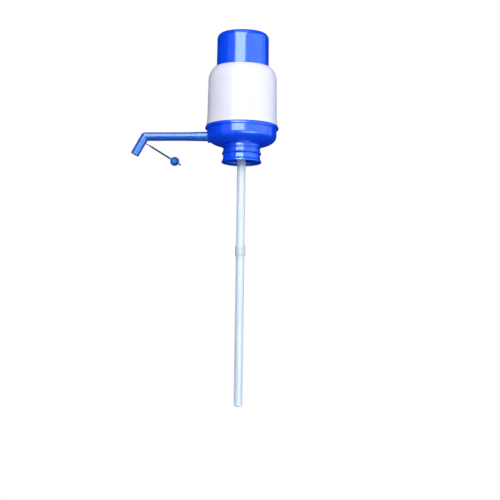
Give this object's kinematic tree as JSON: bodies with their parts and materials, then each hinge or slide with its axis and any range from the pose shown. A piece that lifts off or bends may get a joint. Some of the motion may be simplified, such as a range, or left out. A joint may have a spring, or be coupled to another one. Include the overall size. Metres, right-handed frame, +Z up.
{
  "type": "water jug hand pump",
  "caption": "Hand pump for a large water bottle: press button in a round housing on a bowl with a neck sleeve, side spout with plug on a strap, and a dip tube.",
  "frame": {"origin": "centre of the ring face that seats on the bottle's mouth", "axes": "+Z up along the pump's axis, -X along the spout, Y across"},
  "size_m": [0.2221, 0.1104, 0.5683],
  "materials": {
    "blue_plastic": "glossy moulded polypropylene",
    "white_plastic": "glossy moulded",
    "inner_white": "as moulded",
    "soft_blue": "soft satin",
    "spout_blue": "glossy, slightly milky",
    "tether_blue": "soft moulded",
    "tube_plastic": "milky translucent",
    "bellows_plastic": "blown polyethylene",
    "seal_rubber": "matt rubber",
    "screw_steel": "zinc plated"
  },
  "bodies": {
    "base": {"base_bowl": "blue_plastic", "neck_sleeve": "soft_blue", "mouth_gasket": "seal_rubber", "housing": "white_plastic", "deck_plate": "inner_white", "deck_seal": "seal_rubber", "deck_screws": "screw_steel", "bellows": "bellows_plastic", "bellows_clamp": "inner_white", "water_elbow": "inner_white", "elbow_seal": "seal_rubber", "elbow_nut": "inner_white", "duct_seal": "seal_rubber", "dip_tube_upper": "tube_plastic", "tube_coupling": "tube_plastic", "dip_tube_lower": "tube_plastic", "outlet_valve_cage": "inner_white"},
    "outlet_valve": {"outlet_valve_disc": "seal_rubber"},
    "button": {"press_button": "blue_plastic", "bellows_head": "inner_white", "head_ring": "inner_white", "head_screws": "screw_steel", "intake_valve_cage": "inner_white"},
    "intake_valve": {"intake_valve_disc": "seal_rubber"},
    "spout": {"spout": "spout_blue", "spout_seals": "seal_rubber"},
    "tether": {"tether_ring": "spout_blue"},
    "plug": {"plug_strap": "tether_blue"}
  },
  "joints": [
    {"name": "button_press", "type": "slide", "parent": "base", "child": "button", "axis": [0, 0, -1], "range_m": [0, 0.04], "stiffness_N_per_m": 500, "springref_m": -0.008, "deforming": ["bellows"]},
    {"name": "outlet_valve_lift", "type": "slide", "parent": "base", "child": "outlet_valve", "axis": [0, 0, 1], "range_m": [0, 0.0011]},
    {"name": "intake_valve_lift", "type": "slide", "parent": "button", "child": "intake_valve", "axis": [0, 0, 1], "range_m": [0, 0.0011]},
    {"name": "spout_swivel", "type": "hinge", "parent": "base", "child": "spout", "pos_m": [-0.0425, 0, 0.0165], "axis": [-1, 0, 0], "continuous": true},
    {"name": "tether_swivel", "type": "hinge", "parent": "spout", "child": "tether", "pos_m": [-0.15017, 0, 0.0091], "axis": [-0.4909, 0, -0.8712], "continuous": true},
    {"name": "strap_bend", "type": "hinge", "parent": "tether", "child": "plug", "pos_m": [-0.14207, 0, 0.00453], "axis": [0, 1, 0], "range_deg": [-25, 80], "stiffness_Nm_per_rad": 0.006, "springref_deg": -1.43}
  ]
}
